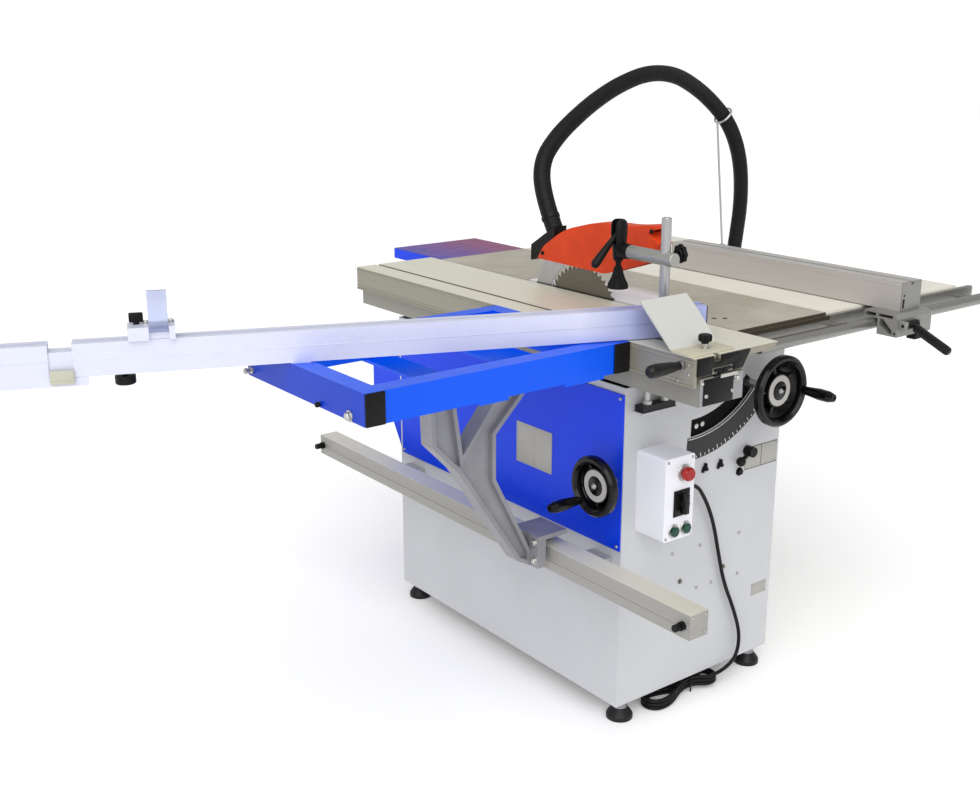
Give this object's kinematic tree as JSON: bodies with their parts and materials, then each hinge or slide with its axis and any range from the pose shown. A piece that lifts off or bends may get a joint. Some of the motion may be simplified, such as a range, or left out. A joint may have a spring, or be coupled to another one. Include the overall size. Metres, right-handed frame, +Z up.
{
  "type": "sliding-table panel saw",
  "caption": "Floor-standing sliding-table panel saw with tilting blade, crosscut outrigger and mitre fence, rip fence, hand wheels and guard with dust hose.",
  "frame": {"origin": "floor point under the line where the sliding table meets the main table, halfway along the sliding table", "axes": "+X to the operator's right, +Y away from the operator along the cut, +Z up"},
  "size_m": [2.5027, 1.514, 1.3991],
  "materials": {
    "grey_paint": "satin paint",
    "blue_paint": "satin paint",
    "black_rubber": "matt",
    "dark_plate": "satin",
    "grey_box": "satin paint",
    "red_button": "gloss",
    "green_button": "gloss",
    "black_plastic": "satin",
    "cast_table": "ground",
    "pale_wing": "ground",
    "steel": "bright",
    "cast_iron": "rough",
    "motor_paint": "satin",
    "orange_guard": "satin",
    "alloy": "anodised",
    "clear_plastic": "clear",
    "hose_plastic": "ribbed"
  },
  "bodies": {
    "base": {"cabinet": "grey_paint", "side_cover": "blue_paint", "rear_hood": "blue_paint", "leveling_feet": "black_rubber", "angle_scale": "dark_plate", "control_box": "grey_box", "main_table": "cast_table", "table_insert": "steel", "extension_wing": "pale_wing", "rear_extension": "blue_paint", "rip_rail": "steel", "beam": "alloy", "slide_brackets": "steel", "lower_rail": "alloy", "trunnion_supports": "cast_iron", "hose_stand": "grey_paint", "dust_hose": "hose_plastic", "cable_gland": "black_rubber", "power_cable": "black_rubber", "cable_hank": "black_rubber", "mains_plug": "black_rubber"},
    "tilt_unit": {"tilt_cradle": "cast_iron"},
    "rise_unit": {"arbor_housing": "cast_iron", "motor": "motor_paint", "riving_knife": "steel", "blade_guard": "orange_guard", "guard_spout": "black_plastic", "drive_belt": "black_rubber"},
    "arbor": {"arbor_shaft": "steel", "saw_blade": "steel", "blade_flanges": "steel"},
    "motor_rotor": {"motor_pulley": "steel"},
    "height_drive": {"height_screw": "steel", "height_wheel": "black_plastic"},
    "height_grip": {"height_wheel_grip": "black_plastic"},
    "tilt_drive": {"tilt_screw": "steel", "tilt_wheel": "black_plastic"},
    "tilt_grip": {"tilt_wheel_grip": "black_plastic"},
    "sliding_table": {"carriage": "alloy", "push_handle": "black_plastic", "outrigger_frame": "blue_paint", "support_strut": "alloy"},
    "roller": {"strut_roller": "black_plastic"},
    "mitre_fence": {"crosscut_fence": "alloy"},
    "fence_slide": {"fence_extension": "alloy"},
    "stop_block": {"flip_stop": "alloy"},
    "stop_flip": {"stop_finger": "clear_plastic"},
    "shoe": {"edging_shoe": "alloy"},
    "clamp_post": {"clamp_column": "steel"},
    "clamp_head": {"clamp_arm": "black_plastic"},
    "clamp_handle": {"clamp_lever": "black_plastic"},
    "clamp_pad": {"clamp_foot": "alloy"},
    "rip_unit": {"rip_fence": "alloy", "rip_fence_carrier": "alloy"},
    "rip_handle": {"rip_fence_lever": "black_plastic"},
    "estop": {"estop_button": "red_button"},
    "start_left": {"start_button_left": "green_button"},
    "start_right": {"start_button_right": "green_button"},
    "selector": {"selector_knob": "black_plastic"},
    "tilt_lock": {"tilt_lock_lever": "black_plastic"}
  },
  "joints": [
    {"name": "blade_tilt", "type": "hinge", "parent": "base", "child": "tilt_unit", "pos_m": [0.006, 0, 0.895], "axis": [0, 1, 0], "range_deg": [0, 45], "deforming": ["dust_hose"]},
    {"name": "blade_rise", "type": "slide", "parent": "tilt_unit", "child": "rise_unit", "axis": [0, 0, 1], "range_m": [-0.05, 0], "deforming": ["dust_hose"]},
    {"name": "blade_spin", "type": "hinge", "parent": "rise_unit", "child": "arbor", "pos_m": [0.006, -0.01, 0.836], "axis": [1, 0, 0], "continuous": true},
    {"name": "motor_spin", "type": "hinge", "parent": "rise_unit", "child": "motor_rotor", "pos_m": [0.086, -0.01, 0.69], "axis": [1, 0, 0], "continuous": true},
    {"name": "height_wheel_turn", "type": "hinge", "parent": "tilt_unit", "child": "height_drive", "pos_m": [0.18009, -0.44, 0.72979], "axis": [0, 1, 0], "range_deg": [-452, 2]},
    {"name": "height_grip_spin", "type": "hinge", "parent": "height_drive", "child": "height_grip", "pos_m": [0.24672, -0.52, 0.72279], "axis": [0, 1, 0], "continuous": true},
    {"name": "tilt_wheel_turn", "type": "hinge", "parent": "base", "child": "tilt_drive", "pos_m": [-0.23, -0.354, 0.574], "axis": [1, 0, 0], "range_deg": [-2, 1352]},
    {"name": "tilt_grip_spin", "type": "hinge", "parent": "tilt_drive", "child": "tilt_grip", "pos_m": [-0.31, -0.31887, 0.53498], "axis": [1, 0, 0], "continuous": true},
    {"name": "table_slide", "type": "slide", "parent": "base", "child": "sliding_table", "axis": [0, 1, 0], "range_m": [-0.34, 0.85]},
    {"name": "roller_spin", "type": "hinge", "parent": "sliding_table", "child": "roller", "pos_m": [-0.285, -0.238, 0.436], "axis": [1, 0, 0], "range_deg": [-4130, 1655]},
    {"name": "fence_mitre", "type": "hinge", "parent": "sliding_table", "child": "mitre_fence", "pos_m": [-0.1268, -0.44156, 0.9], "axis": [0, 0, 1], "range_deg": [-8, 21.9]},
    {"name": "extension_slide", "type": "slide", "parent": "mitre_fence", "child": "fence_slide", "axis": [-0.9278, 0.373, 0], "range_m": [-0.038, 0.35]},
    {"name": "stop_slide", "type": "slide", "parent": "mitre_fence", "child": "stop_block", "axis": [0.9278, -0.373, 0], "range_m": [-0.09, 0.75]},
    {"name": "stop_finger_flip", "type": "hinge", "parent": "stop_block", "child": "stop_flip", "pos_m": [-1.0673, -0.08934, 0.9743], "axis": [0.9278, -0.373, 0], "range_deg": [0, 180]},
    {"name": "shoe_slide", "type": "slide", "parent": "sliding_table", "child": "shoe", "axis": [0, 1, 0], "range_m": [-0.02, 0]},
    {"name": "clamp_swing", "type": "hinge", "parent": "sliding_table", "child": "clamp_post", "pos_m": [-0.105, -0.383, 1], "axis": [0, 0, 1], "range_deg": [0, 100]},
    {"name": "clamp_height", "type": "slide", "parent": "clamp_post", "child": "clamp_head", "axis": [0, 0, 1], "range_m": [-0.05, 0.045]},
    {"name": "clamp_lever_turn", "type": "hinge", "parent": "clamp_head", "child": "clamp_handle", "pos_m": [-0.105, -0.245, 1.082], "axis": [0, 1, 0], "range_deg": [-2, 62]},
    {"name": "clamp_foot_press", "type": "slide", "parent": "clamp_head", "child": "clamp_pad", "axis": [0, 0, 1], "range_m": [0, 0.008]},
    {"name": "rip_fence_slide", "type": "slide", "parent": "base", "child": "rip_unit", "axis": [1, 0, 0], "range_m": [-0.34, 0.3]},
    {"name": "rip_lever_turn", "type": "hinge", "parent": "rip_unit", "child": "rip_handle", "pos_m": [0.408, -0.623, 0.875], "axis": [-1, 0, 0], "range_deg": [0, 70]},
    {"name": "estop_press", "type": "slide", "parent": "base", "child": "estop", "axis": [0, 1, 0], "range_m": [0, 0.004], "stiffness_N_per_m": 1200, "springref_m": -0.002},
    {"name": "start_left_press", "type": "slide", "parent": "base", "child": "start_left", "axis": [0, 1, 0], "range_m": [0, 0.003], "stiffness_N_per_m": 1200, "springref_m": -0.002},
    {"name": "start_right_press", "type": "slide", "parent": "base", "child": "start_right", "axis": [0, 1, 0], "range_m": [0, 0.003], "stiffness_N_per_m": 1200, "springref_m": -0.002},
    {"name": "selector_turn", "type": "hinge", "parent": "base", "child": "selector", "pos_m": [-0.108, -0.47, 0.536], "axis": [0, 1, 0], "range_deg": [-45, 45]},
    {"name": "tilt_lock_turn", "type": "hinge", "parent": "base", "child": "tilt_lock", "pos_m": [0.187, -0.385, 0.568], "axis": [0, 1, 0], "range_deg": [-30, 30]}
  ],
  "couplings": [
    {"joint": "motor_spin", "follows": "blade_spin", "ratio": 0.72222},
    {"joint": "height_wheel_turn", "follows": "blade_rise", "rad_per_m": 157.08},
    {"joint": "tilt_wheel_turn", "follows": "blade_tilt", "ratio": 30},
    {"joint": "roller_spin", "follows": "table_slide", "rad_per_m": -84.746},
    {"joint": "clamp_lever_turn", "follows": "clamp_foot_press", "rad_per_m": 130.9}
  ]
}
